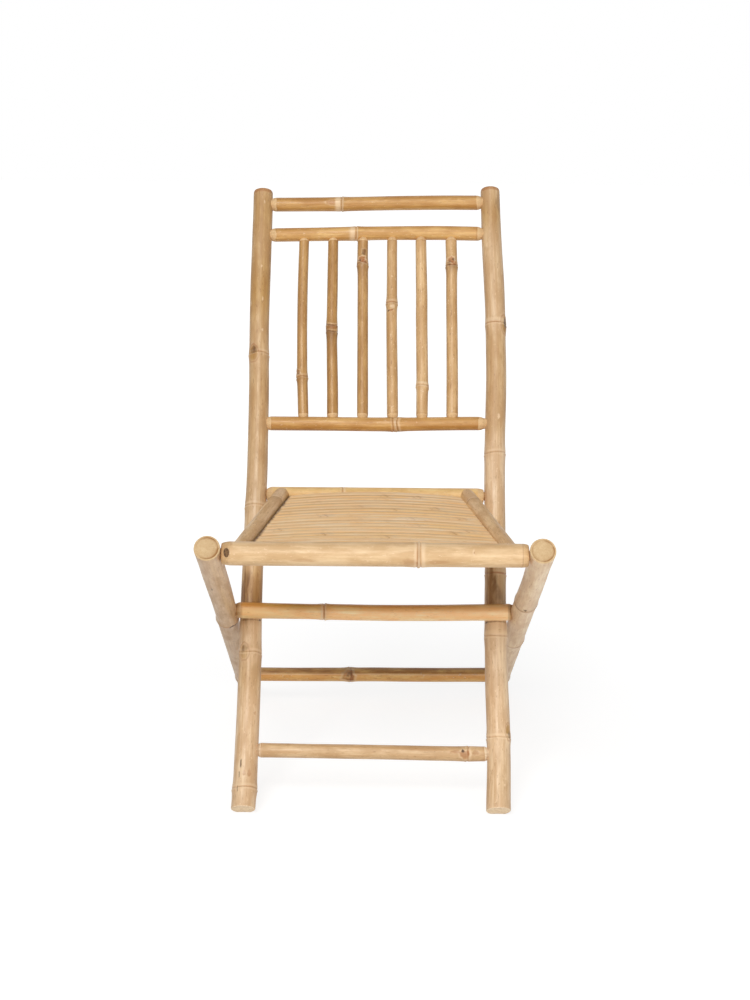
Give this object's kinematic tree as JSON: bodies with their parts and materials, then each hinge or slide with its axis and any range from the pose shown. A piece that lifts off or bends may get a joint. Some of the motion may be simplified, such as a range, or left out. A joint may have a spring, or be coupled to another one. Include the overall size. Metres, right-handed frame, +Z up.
{
  "type": "folding bamboo chair",
  "caption": "Folding chair of bamboo culms: leaning spindle back, hinged slatted seat, and crossing rear legs whose bar rests against the back posts.",
  "frame": {"origin": "on the floor, at the middle of the open chair's outline seen from above", "axes": "+Z up, front of the chair towards -Y, the back frame leans towards +Y, +X to the right of a viewer in front of the chair"},
  "size_m": [0.4814, 0.634, 0.8879],
  "materials": {
    "post": "natural bamboo culm, semi-gloss skin with knots",
    "leg": "natural bamboo culm, semi-gloss skin with knots",
    "rail": "natural bamboo culm, semi-gloss, whittled ends",
    "spindle": "thin bamboo culm, semi-gloss",
    "dark_rail": "darker bamboo culm, semi-gloss",
    "front_rail": "pale bamboo culm, semi-gloss",
    "side_rail": "bamboo culm, semi-gloss",
    "slat": "split bamboo strip, semi-gloss",
    "strip": "plain bamboo strip, matt",
    "dowel": "matt hardwood dowel",
    "peg": "dark fibrous plug, matt"
  },
  "bodies": {
    "back_frame": {"left_post": "post", "right_post": "post", "top_rail": "rail", "upper_back_rail": "rail", "lower_back_rail": "rail", "front_foot_rail": "rail", "back_spindle_1": "spindle", "back_spindle_2": "spindle", "back_spindle_3": "spindle", "back_spindle_4": "spindle", "back_spindle_5": "spindle", "back_spindle_6": "spindle"},
    "seat": {"front_seat_rail": "front_rail", "rear_seat_rail": "rail", "left_side_rail": "side_rail", "right_side_rail": "side_rail", "left_slat_ledger": "strip", "right_slat_ledger": "strip", "centre_slat_bearer": "strip", "dowel_peg": "peg", "front_left_pivot_dowel": "dowel", "front_right_pivot_dowel": "dowel", "rear_left_pivot_dowel": "dowel", "rear_right_pivot_dowel": "dowel", "seat_slat_01": "slat", "seat_slat_02": "slat", "seat_slat_03": "slat", "seat_slat_04": "slat", "seat_slat_05": "slat", "seat_slat_06": "slat", "seat_slat_07": "slat", "seat_slat_08": "slat", "seat_slat_09": "slat", "seat_slat_10": "slat", "seat_slat_11": "slat", "seat_slat_12": "slat", "seat_slat_13": "slat", "seat_slat_14": "slat", "seat_slat_15": "slat", "seat_slat_16": "slat", "seat_slat_17": "slat", "seat_slat_18": "slat"},
    "leg_frame": {"left_leg": "leg", "right_leg": "leg", "stop_bar": "rail", "rear_foot_rail": "dark_rail"}
  },
  "joints": [
    {"name": "seat_fold", "type": "hinge", "parent": "back_frame", "child": "seat", "pos_m": [0, 0.04948, 0.4223], "axis": [-1, 0, 0], "range_deg": [0, 99.5]},
    {"name": "leg_fold", "type": "hinge", "parent": "seat", "child": "leg_frame", "pos_m": [0, -0.29052, 0.4223], "axis": [-1, 0, 0], "range_deg": [-28.6, 0]}
  ],
  "couplings": [
    {"joint": "leg_fold", "follows": "seat_fold", "ratio": -0.2859}
  ]
}
